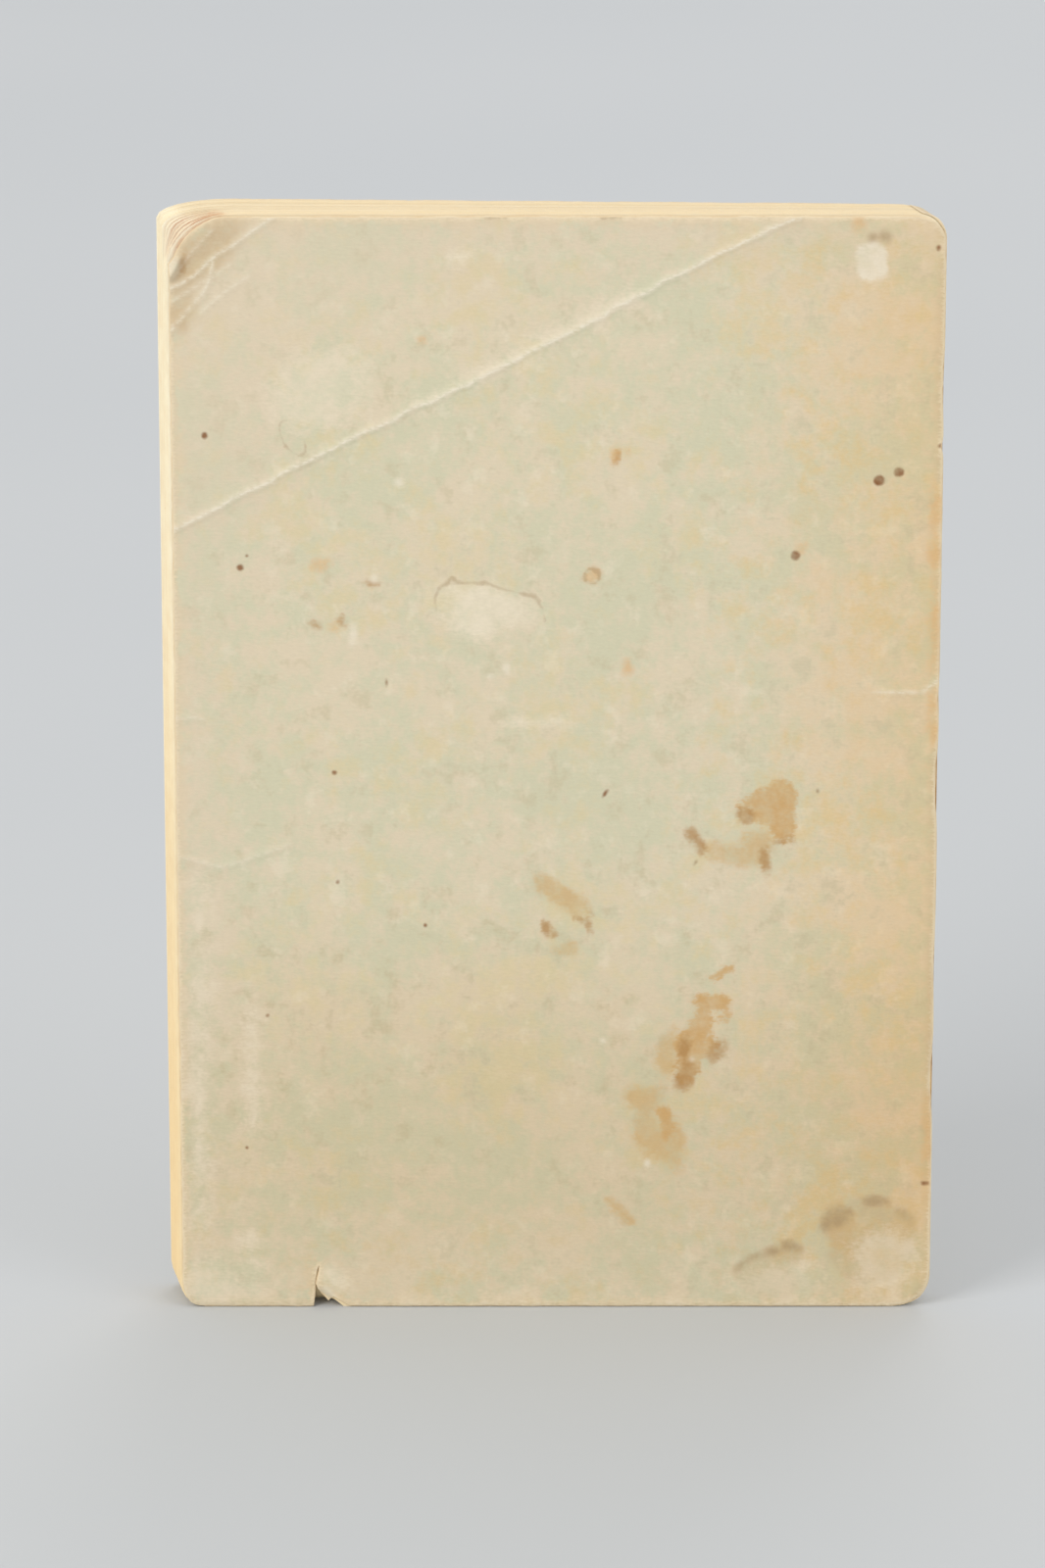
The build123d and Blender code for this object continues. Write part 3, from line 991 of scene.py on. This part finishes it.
BROWN_STAINS_AND_SHADOW = (
    (81.0, 165.5, 0.5, 1.0, -15),
    (104.7, 97.0, 1.6, 1.7, 0),
    (108.5, 88.3, 1.0, 2.1, 10),
    (95.1, 93.3, 1.0, 1.5, 20),
    (96.5, 90.9, 0.9, 1.7, 15),
    (113.2, 92.6, 0.7, 0.4, -35),
    (111.2, 92.0, 0.8, 0.4, 15),
    (99.3, 50.9, 1.4, 2.7, -30),
    (94.2, 46.5, 1.9, 3.4, -20),
    (93.7, 52.0, 0.9, 1.9, -15),
    (74.6, 77.1, 1.0, 0.5, -20),
    (75.9, 76.1, 0.6, 1.2, 20),
    (76.6, 78.1, 0.9, 0.4, -30),
    (68.1, 75.4, 0.6, 0.9, 20),
    (69.7, 74.2, 0.7, 0.9, 20),
    # Painted shadow beside the lip of the worn corner
    (2.5, 201.0, 0.6, 1.5, -28),
    (30.9, 134.1, 0.8, 1.1, 0),
    (26.2, 133.6, 1.0, 0.5, -15),
    (36.3, 141.3, 0.8, 0.35, 0),
)
ORANGE_MARKS = (
    (80.6, 165.7, 0.9, 1.6, -15),
    (82.8, 166.2, 0.5, 0.7, 0),
    (114.4, 147.9, 0.9, 0.5, 45),
    (29.7, 133.2, 1.1, 0.8, 0),
    (45.6, 187.1, 0.7, 0.6, 0),
    (76.4, 142.8, 1.4, 1.4, 0),
    (27.1, 145.0, 1.7, 1.2, 0),
    (83.1, 125.7, 0.7, 1.0, 0),
    (124.1, 208.6, 1.2, 1.6, 0),
    (138.9, 156.0, 1.2, 3.4, 0),
    (138.9, 147.0, 1.1, 2.8, 0),
    (138.9, 132.5, 1.2, 7.0, 0),
    (139.1, 118.7, 1.0, 2.0, 0),
    (139.1, 113.5, 1.0, 2.0, 0),
    (139.4, 33.0, 1.2, 8.0, 0),
)
DAMP_PATCHES = (
    (123.0, 16.6, 3.2, 4.0, 0),
    (129.5, 18.3, 3.6, 4.3, 0),
    (134.2, 16.3, 2.9, 3.6, 0),
    (128.6, 11.6, 7.6, 6.4, 0),
    (113.6, 11.2, 2.4, 2.6, 0),
    (110.4, 9.9, 2.1, 2.4, 0),
    (107.2, 8.8, 2.1, 2.3, 0),
    (105.0, 7.4, 1.7, 1.8, 0),
    (110.0, 5.4, 5.6, 3.6, 0),
)
DAMP_RIMS = (
    (122.8, 18.7, 2.5, 1.8, 20),
    (120.4, 17.4, 0.9, 1.8, -30),
    (129.4, 21.7, 2.2, 1.0, 0),
    (134.8, 18.8, 1.7, 0.8, -30),
    (113.8, 12.7, 1.8, 1.1, -15),
    (110.7, 11.6, 1.3, 0.8, 20),
    (107.3, 10.6, 1.2, 0.6, 10),
    (104.8, 8.9, 1.1, 0.6, 45),
    (128.9, 206.2, 1.1, 1.2, 0),
    (126.5, 206.1, 0.8, 0.8, 0),
)
THIN_LINES = (
    (
        ((48.1, 136.4), (47.8, 138.7), (48.6, 140.4), (50.3, 141.6))
        + ((50.8, 142.7), (52, 141.6), (56.9, 141.6)),
        0.22,
    ),
    (((56.9, 141.6), (60.3, 140.4), (64.7, 139.3), (66.1, 138.9), (67.5, 136.6), (68.0, 134.4)), 0.22),
    ring_line(76.4, 142.8, 1.4, 1.4, 0, 0.14),
    ring_line(22.2, 168.8, 1.8, 3.7, 28, 0.08, 3, 9),
    ring_line(22.2, 168.8, 1.8, 3.7, 28, 0.06, 11, 15),
    (((56.6, 209.6), (61.0, 209.8)), 0.2),
    (((78.0, 209.8), (81.4, 209.8)), 0.3),
)
WHITE_MARKS = (
    (126.0, 200.3, 2.2, 2.3, 0),
    (127.0, 202.8, 2.2, 2.3, 0),
    (125.3, 202.6, 1.7, 2.3, 0),
    (127.8, 200.6, 1.6, 2.1, 0),
    (78.6, 53.3, 0.6, 0.55, 0),
    (95.3, 49.7, 0.5, 0.5, 0),
    (33.0, 132.1, 0.8, 2.2, -10),
    # Painted highlight on the lit side of the lip, over its pale rubbed paper
    (0.9, 200.8, 0.9, 1.9, -30),
    # Torn tongue in the chip: its pale paper brightened by a painted highlight where it lies in shade
    (27.0, 3.4, 1.7, 1.2, -40),
    (36.8, 142.4, 0.6, 0.8, 0),
    (41.4, 160.4, 1.0, 0.8, 0),
    (57.9, 124.0, 0.7, 0.6, 0),
    (60.9, 125.3, 0.6, 0.8, 0),
    (87.0, 29.2, 0.4, 0.5, 0),
)
SMALL_SPECKS = (
    (128.4, 160.9, 1.0, 0.95, 0),
    (131.9, 162.5, 0.95, 0.95, 0),
    (113.3, 146.7, 0.9, 0.9, 0),
    (12.5, 144.5, 0.6, 0.6, 0),
    (13.7, 146.7, 0.3, 0.3, 0),
    (6.3, 169.3, 0.55, 0.55, 0),
    (29.3, 105.4, 0.45, 0.4, 0),
    (117.9, 101.8, 0.3, 0.4, 0),
    (29.8, 84.2, 0.35, 0.4, 0),
    (45.9, 75.8, 0.28, 0.28, 0),
    (16.6, 58.2, 0.28, 0.28, 0),
    (12.5, 32.2, 0.25, 0.25, 0),
    (78.9, 101.3, 0.6, 0.25, 55),
    (38.9, 122.6, 0.25, 0.55, 0),
    (138.8, 25.1, 0.7, 0.4, 0),
    (139.7, 167.3, 0.6, 0.4, 0),
    (138.4, 204.1, 0.35, 0.45, 0),
    (95.6, 88.0, 0.3, 0.6, -30),
)

Layer = namedtuple("Layer", "name marks merge hue strength ragged soft")
BACK_LAYERS = (
    Layer("flushed", FLUSHED, 8.0, FLUSH, 0.45, 30.0, 9.0),
    Layer("damp", DAMP_PATCHES, 1.0, SOIL_AND_SHADE, 0.4, 2.0, 0.8),
    Layer("soft_rub", SOFT_RUBS, 1.5, PALE, 0.42, 9.0, 2.6),
    Layer("soiled_and_shaded", SOILED_AND_SHADED, 2.0, SOIL_AND_SHADE, 0.48, 3.0, 2.2),
    Layer("pale_rub_and_highlight", PALE_RUBS_AND_HIGHLIGHT, 1.5, PALE, 0.72, 4.0, 1.8),
    Layer("faint_stain", FAINT_STAINS, 1.2, OCHRE, 0.62, 4.0, 1.0),
    Layer("stain", TAN_STAINS, 1.6, TAN, 0.84, 4.0, 0.55),
    Layer("dark_stain_and_shadow", BROWN_STAINS_AND_SHADOW, 0.8, BROWN, 0.7, 3.0, 0.7),
    Layer("orange_mark", ORANGE_MARKS, 0.6, ORANGE, 0.45, 3.0, 0.9),
    Layer("damp_rim", DAMP_RIMS, 1.0, GREY, 0.6, 2.0, 0.9),
    Layer("thin_line", THIN_LINES, 0.2, GREY, 0.42, 2.2, 0.35),
    Layer("white_mark", WHITE_MARKS, 0.6, WHITE, 0.6, 1.2, 0.6),
    Layer("speck", SMALL_SPECKS, 0.3, SPECK, 0.85, 0.8, 0.3),
)


def set_down(marks):
    """Marks moved from the rubbed edges that they were measured from onto the flat sheet."""
    du, dw = MARK_ORIGIN
    moved = []
    for mark in marks:
        if isinstance(mark[0], tuple):
            moved.append((tuple((u + du, w + dw) for u, w in mark[0]), mark[1]))
        else:
            moved.append((mark[0] + du, mark[1] + dw, *mark[2:]))
    return moved


# Shader groups shared by the papers
def cloudy(tree, place, scale, detail, roughness):
    sockets = {"Vector": place, "Scale": scale, "Detail": detail, "Roughness": roughness}
    return put(tree, "ShaderNodeTexNoise", sockets).outputs


def paper_grain_group():
    """Clouds, mottling and fibres of old paper, each about 0.5, and a height for bump."""
    inputs = [("Place", "NodeSocketVector", None), ("Seed", "NodeSocketVector", None)]
    names = ("Cloud", "Drift", "Mottle", "Patch", "Fleck", "Fibre", "Height")
    outputs = [(name, "NodeSocketFloat") for name in names]
    tree, given, out = new_group("Paper grain", "ShaderNodeTree", inputs, outputs)
    place = vector_calc(tree, "ADD", given["Place"], given["Seed"])
    stretched = put(tree, "ShaderNodeMapping", {"Vector": place, "Scale": (0.6, 1.0, 1.7)}).outputs[0]
    clouds = cloudy(tree, place, 0.045, 1.0, 0.6)["Color"]
    mottle = cloudy(tree, place, 0.2, 3.0, 0.7)["Color"]
    fibre = cloudy(tree, stretched, 1.3, 2.0, 0.65)["Fac"]
    wide = put(tree, "ShaderNodeSeparateColor", {0: clouds}).outputs
    close = put(tree, "ShaderNodeSeparateColor", {0: mottle}).outputs
    for name, source in zip(names, (wide[0], wide[1], close[0], close[1], close[2], fibre, fibre)):
        tree.links.new(source, out[name])
    return tree


def worn_edge_group():
    """Mask along a sheet's edge, broken up by the paper's mottling."""
    inputs = [
        ("Edge", "NodeSocketFloat", 0.0),
        ("Mottle", "NodeSocketFloat", 0.5),
        ("Reach", "NodeSocketFloat", 2.0),
    ]
    tree, given, out = new_group("Worn edge", "ShaderNodeTree", inputs, [("Mask", "NodeSocketFloat")])
    uneven = part_of(tree, given["Reach"], span(tree, given["Mottle"], 0.3, 0.7, 0.3, 1.7))
    tree.links.new(span(tree, given["Edge"], 0.0, uneven, 1.0, 0.0), out["Mask"])
    return tree


def mark_group():
    """Mask of a layer of marks from the depth inside them, with an uneven outline and a patchy fill."""
    inputs = [
        ("Depth", "NodeSocketFloat", 0.0),
        ("Mottle", "NodeSocketFloat", 0.5),
        ("Fibre", "NodeSocketFloat", 0.5),
        ("Ragged", "NodeSocketFloat", 1.0),
        ("Soft", "NodeSocketFloat", 0.3),
        ("Strength", "NodeSocketFloat", 1.0),
    ]
    tree, given, out = new_group("Mark", "ShaderNodeTree", inputs, [("Mask", "NodeSocketFloat")])
    plus, minus, times, _ = sums(tree)
    fibre_share = 0.45
    blend = plus(given["Mottle"], times(given["Fibre"], fibre_share))
    push = times(minus(blend, (1 + fibre_share) / 2), given["Ragged"])
    depth = plus(given["Depth"], push)
    mask = span(tree, depth, times(given["Soft"], -1.0), given["Soft"])
    patchy = times(given["Strength"], span(tree, given["Mottle"], 0.32, 0.66, 0.66, 1.15))
    tree.links.new(times(mask, patchy), out["Mask"])
    return tree


def foxing_group():
    """Scattered small age spots."""
    inputs = [
        ("Place", "NodeSocketVector", None),
        ("Scale", "NodeSocketFloat", 0.1),
        ("Size", "NodeSocketFloat", 0.05),
    ]
    tree, given, out = new_group("Foxing", "ShaderNodeTree", inputs, [("Mask", "NodeSocketFloat")])
    sockets = {"Vector": given["Place"], "Scale": given["Scale"], "Randomness": 1.0}
    cells = put(tree, "ShaderNodeTexVoronoi", sockets).outputs
    pick = put(tree, "ShaderNodeSeparateColor", {0: cells["Color"]}).outputs[0]
    size = part_of(tree, given["Size"], calc(tree, "POWER", pick, 3.0))
    tree.links.new(span(tree, cells["Distance"], 0.0, size, 1.0, 0.0), out["Mask"])
    return tree


PAPER_GRAIN = paper_grain_group()
WORN_EDGE = worn_edge_group()
MARK = mark_group()
FOXING = foxing_group()


def group(tree, shared, sockets):
    return put(tree, "ShaderNodeGroup", sockets, node_tree=shared).outputs


def tint(tree, base, colour, mask, blend="MIX"):
    sockets = {0: mask, 6: base, 7: colour}
    return put(tree, "ShaderNodeMix", sockets, data_type="RGBA", blend_type=blend).outputs[2]


def attribute(tree, name):
    return put(tree, "ShaderNodeAttribute", attribute_name=name).outputs["Fac"]


def start_finish(name, rough):
    """New material; gives it with its tree and its shader."""
    material = bpy.data.materials.new(name)
    material.use_nodes = True
    tree = material.node_tree
    shader = tree.nodes["Principled BSDF"]
    shader.inputs["Roughness"].default_value = rough
    shader.inputs["Specular IOR Level"].default_value = 0.25
    return material, tree, shader


def place_on(tree, shift=(0, 0, 0), keep=(1, 1, 1)):
    """Place on a piece in millimetres, from a chosen origin."""
    corner = put(tree, "ShaderNodeTexCoord").outputs["Object"]
    sockets = {"Vector": corner, "Location": shift, "Scale": [part / MM for part in keep]}
    return put(tree, "ShaderNodeMapping", sockets).outputs[0]


def finish_paper(tree, shader, colour, height, distance):
    """Joins a colour and a grain to a shader."""
    bump = put(tree, "ShaderNodeBump", {"Strength": 0.6, "Distance": distance, "Height": height})
    tree.links.new(colour, shader.inputs["Base Color"])
    tree.links.new(bump.outputs[0], shader.inputs["Normal"])


def mottled_paper(tree, grain):
    """Colour of unmarked cover paper, drifting between green, peach and straw."""
    blend = calc(tree, "ADD", part_of(tree, grain["Mottle"], 0.6), part_of(tree, grain["Cloud"], 0.4))
    colour = tint(tree, SAGE, PEACH, span(tree, blend, 0.4, 0.6))
    straw = calc(tree, "ADD", part_of(tree, grain["Drift"], 0.4), part_of(tree, grain["Patch"], 0.6))
    colour = tint(tree, colour, STRAW, span(tree, straw, 0.49, 0.66, 0.0, 0.6))
    colour = tint(tree, colour, DIRT, span(tree, grain["Patch"], 0.3, 0.46, 0.5, 0.0))
    return tint(tree, colour, PALE, span(tree, grain["Fleck"], 0.54, 0.72, 0.0, 0.4))


def worn_edges(tree, colour, grain, reach, strength):
    """Tones a sheet's colour along its edges and rubs the very edge bare."""
    edge = attribute(tree, "edge_mm")
    toned = group(tree, WORN_EDGE, {"Edge": edge, "Mottle": grain["Mottle"], "Reach": reach})["Mask"]
    rubbed = group(tree, WORN_EDGE, {"Edge": edge, "Mottle": grain["Fibre"], "Reach": 0.7})["Mask"]
    colour = tint(tree, colour, AMBER, part_of(tree, toned, strength))
    return tint(tree, colour, CORE, part_of(tree, rubbed, 0.75))


def cracked_creases(tree, colour, grain):
    """Shows the pale core of the paper along its creases."""
    broken = span(tree, grain["Fibre"], 0.34, 0.6, 0.3, 1.0)
    cracked = part_of(tree, attribute(tree, "crease"), broken)
    return tint(tree, colour, WHITE, part_of(tree, cracked, 0.9))


def back_cover_finish():
    """Face of the back cover: aged paper with stains, specks, damp marks, creases and rubbed places, with
    painted shade towards the spine and the tail and a few painted shadows and highlights at the worn lip, the
    tear and the spine edge.
    """
    material, tree, shader = start_finish("Stained cover paper", 0.86)
    place = place_on(tree, shift=(-cover_low.x, 0, 0), keep=(1, 0, 1))
    grain = group(tree, PAPER_GRAIN, {"Place": place, "Seed": (0, 0, 0)})
    colour = mottled_paper(tree, grain)

    # Browner towards the spine and towards the tail, partly the paper's toning and dust, partly painted shade
    # where the light falls off to the lower right
    plus, minus, times, _ = sums(tree)
    across, _, up = put(tree, "ShaderNodeSeparateXYZ", {0: place}).outputs
    drift = times(minus(grain["Patch"], 0.5), 60.0)
    across = plus(across, drift)
    up = plus(up, drift)
    dust_and_shade = times(span(tree, up, 35.0, 90.0, 0.75, 0.0), span(tree, up, -6.0, 22.0, 0.4, 1.0))
    colour = tint(tree, colour, WARM_CAST, span(tree, across, 95.0, 144.0), "MULTIPLY")
    colour = tint(tree, colour, DUST_AND_SHADE_CAST, dust_and_shade, "MULTIPLY")
    colour = worn_edges(tree, colour, grain, 2.6, 0.5)

    for layer in BACK_LAYERS:
        sockets = {
            "Depth": attribute(tree, layer.name),
            "Mottle": grain["Mottle"],
            "Fibre": grain["Fibre"],
            "Ragged": layer.ragged,
            "Soft": layer.soft,
            "Strength": layer.strength,
        }
        colour = tint(tree, colour, layer.hue, group(tree, MARK, sockets)["Mask"])
    colour = cracked_creases(tree, colour, grain)
    speckle = put(tree, "ShaderNodeMapRange", {"Value": grain["Fibre"], "To Min": 0.93, "To Max": 1.07})
    colour = tint(tree, colour, speckle.outputs[0], 1.0, "MULTIPLY")
    finish_paper(tree, shader, colour, grain["Height"], 0.06 * MM)
    return material


def plain_paper_finish(name, base, seed, edge_reach):
    """Plain aged cover paper, toned and rubbed at its edges, with a few age spots and its creases."""
    material, tree, shader = start_finish(name, 0.87)
    place = place_on(tree)
    grain = group(tree, PAPER_GRAIN, {"Place": place, "Seed": seed})
    colour = tint(tree, mottled_paper(tree, grain), base, 0.55)
    fox = group(tree, FOXING, {"Place": place, "Scale": 0.06, "Size": 0.16})["Mask"]
    colour = tint(tree, colour, TAN, part_of(tree, fox, 0.3))
    colour = worn_edges(tree, colour, grain, edge_reach, 0.7)
    colour = cracked_creases(tree, colour, grain)
    finish_paper(tree, shader, colour, grain["Height"], 0.06 * MM)
    return material


def torn_edge_finish():
    """Bare fibres at the rim of the cover stock."""
    material, tree, shader = start_finish("Rubbed cover edge", 0.92)
    grain = group(tree, PAPER_GRAIN, {"Place": place_on(tree), "Seed": (3, 8, 1)})
    colour = tint(tree, CORE, AMBER, span(tree, grain["Mottle"], 0.3, 0.7, 0.0, 0.8))
    finish_paper(tree, shader, colour, grain["Height"], 0.08 * MM)
    return material


def leaf_finish():
    """Cream leaf paper, yellower towards the tail, dusty at the head, each leaf a little different."""
    material, tree, shader = start_finish("Leaf paper", 0.9)
    place = place_on(tree)
    grain = group(tree, PAPER_GRAIN, {"Place": place, "Seed": (40, 0, 11)})
    height = put(tree, "ShaderNodeSeparateXYZ", {0: place}).outputs[2]
    colour = tint(tree, LEAF_TAIL, LEAF_HEAD, span(tree, height, 10.0, 185.0))
    leaf = attribute(tree, "leaf")
    pick = put(tree, "ShaderNodeTexWhiteNoise", {"W": leaf}, noise_dimensions="1D").outputs["Value"]
    colour = tint(tree, colour, LEAF_BROWN, part_of(tree, calc(tree, "POWER", pick, 4.0), 0.3))
    colour = tint(tree, colour, LEAF_BROWN, span(tree, grain["Mottle"], 0.35, 0.7, 0.0, 0.15))
    fox = group(tree, FOXING, {"Place": place, "Scale": 0.05, "Size": 0.12})["Mask"]
    colour = tint(tree, colour, LEAF_BROWN, part_of(tree, fox, 0.6))
    colour = tint(tree, colour, HEAD_DUST, span(tree, height, HEIGHT - 2.0, HEIGHT - 0.4, 0.0, 0.75))

    # Painted shade, with some soil, in the crevices between the bunches at the worn corner, less on the last
    # leaf and none towards the front
    crevice_shade_and_soil = span(tree, attribute(tree, "corner"), 0.4, 0.9)
    for mask in (
        span(tree, attribute(tree, "from_edge"), 0.1, 0.6, 0.15, 1.0),
        span(tree, grain["Patch"], 0.38, 0.52, 0.45, 0.95),
        span(tree, leaf, 0.0, 2.0, 0.4, 1.0),
        span(tree, leaf, 10.0, 36.0, 1.0, 0.0),
    ):
        crevice_shade_and_soil = part_of(tree, crevice_shade_and_soil, mask)
    colour = tint(tree, colour, CREVICE_SHADE_AND_SOIL, crevice_shade_and_soil)
    finish_paper(tree, shader, colour, grain["Height"], 0.04 * MM)
    return material


def thread_finish():
    """Twisted linen thread."""
    material, tree, shader = start_finish("Linen thread", 0.8)
    sockets = {"Vector": place_on(tree), "Scale": 0.9, "Distortion": 0.6}
    twist = put(tree, "ShaderNodeTexWave", sockets, bands_direction="DIAGONAL").outputs["Fac"]
    colour = tint(tree, THREAD, AMBER, part_of(tree, twist, 0.4))
    finish_paper(tree, shader, colour, twist, 0.1 * MM)
    return material


def glue_finish():
    """Brittle amber glue."""
    material, tree, shader = start_finish("Spine glue", 0.45)
    grain = group(tree, PAPER_GRAIN, {"Place": place_on(tree), "Seed": (0, 17, 5)})
    colour = tint(tree, GLUE, LEAF_BROWN, span(tree, grain["Mottle"], 0.3, 0.7, 0.0, 0.5))
    finish_paper(tree, shader, colour, grain["Height"], 0.15 * MM)
    return material


def floor_finish():
    """Pale matt floor."""
    material, tree, shader = start_finish("Pale floor", 0.95)
    drift = cloudy(tree, place_on(tree), 0.004, 1.0, 0.5)["Fac"]
    tree.links.new(tint(tree, FLOOR, FLOOR_SHADE, drift), shader.inputs["Base Color"])
    return material


# Pieces
paper = leaf_finish()
lining = plain_paper_finish("Cover lining", LINING, (60, 3, 20), 3.0)
rim = torn_edge_finish()
front_paper = plain_paper_finish("Plain cover paper", PEACH, (25, 90, 60), 3.2)
spine_paper = plain_paper_finish("Spine paper", AMBER, (80, 14, 35), 2.4)

leaves = leaf_stack(paper)
back_sheet = back_cover_sheet([back_cover_finish(), lining, rim])
front_sheet = front_cover_sheet([front_paper, lining, rim])
spine = spine_sheet([spine_paper, lining, rim])

for piece, body, node, slot in (
    (leaves, "block", "page_block", "leaf_paper"),
    (spine, "block", "spine_wrap", "cover_paper"),
    (back_sheet, "back_cover", "back_cover", "cover_paper"),
    (front_sheet, "front_cover", "front_cover", "cover_paper"),
):
    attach(piece, body)
    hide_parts(node)

for node, material in (("sewing_thread", thread_finish()), ("spine_glue", glue_finish())):
    frame["nodes"][node].data.materials.clear()
    frame["nodes"][node].data.materials.append(material)


# Stage: pale floor, soft lamps and the photograph's long view from a little above
FLOOR_REACH = 6.0
LAMP_AIM = Vector((0, 0, 0.1))
LAMPS = (
    ("key", (-1.25, -1.15, 1.15), 0.9, 15.0, (1.0, 0.985, 0.955)),
    ("fill", (1.3, -0.9, 0.7), 1.0, 4.3, (0.98, 0.99, 1.0)),
    ("back", (0.3, 1.4, 1.2), 0.9, 4.0, (1.0, 1.0, 1.0)),
)
SKY = (0.985, 0.99, 1.0, 1.0)
SKY_STRENGTH = 0.78
CAMERA_PLACE = Vector((-4.9, -1377.2, 536.6)) * MM
CAMERA_DROP = 17.56
LENS = 180.0
SENSOR = 36.0


def add_floor():
    mesh = bpy.data.meshes.new("floor")
    corners = [(x * FLOOR_REACH, y * FLOOR_REACH, 0) for x, y in ((-1, -1), (1, -1), (1, 1), (-1, 1))]
    mesh.from_pydata(corners, [], [(0, 1, 2, 3)])
    mesh.materials.append(floor_finish())
    new_object("floor", mesh)


def add_lamp(name, place, size, power, colour):
    lamp = bpy.data.lights.new(name, "AREA")
    lamp.size = size
    lamp.energy = power
    lamp.color = colour
    holder = new_object(name, lamp)
    holder.location = place
    holder.rotation_euler = (LAMP_AIM - Vector(place)).to_track_quat("-Z", "Y").to_euler()


def add_sky():
    world = bpy.data.worlds.new("soft room")
    world.use_nodes = True
    sky = world.node_tree.nodes["Background"].inputs
    sky["Color"].default_value = SKY
    sky["Strength"].default_value = SKY_STRENGTH
    bpy.context.scene.world = world


def add_camera():
    lens = bpy.data.cameras.new("camera")
    lens.sensor_fit = "VERTICAL"
    lens.sensor_height = SENSOR
    lens.lens = LENS
    camera = new_object("camera", lens)
    camera.location = CAMERA_PLACE
    camera.rotation_euler = (math.radians(90 - CAMERA_DROP), 0, 0)
    bpy.context.scene.camera = camera


add_floor()
for lamp in LAMPS:
    add_lamp(*lamp)
add_sky()
add_camera()
bpy.context.scene.view_settings.view_transform = "Standard"
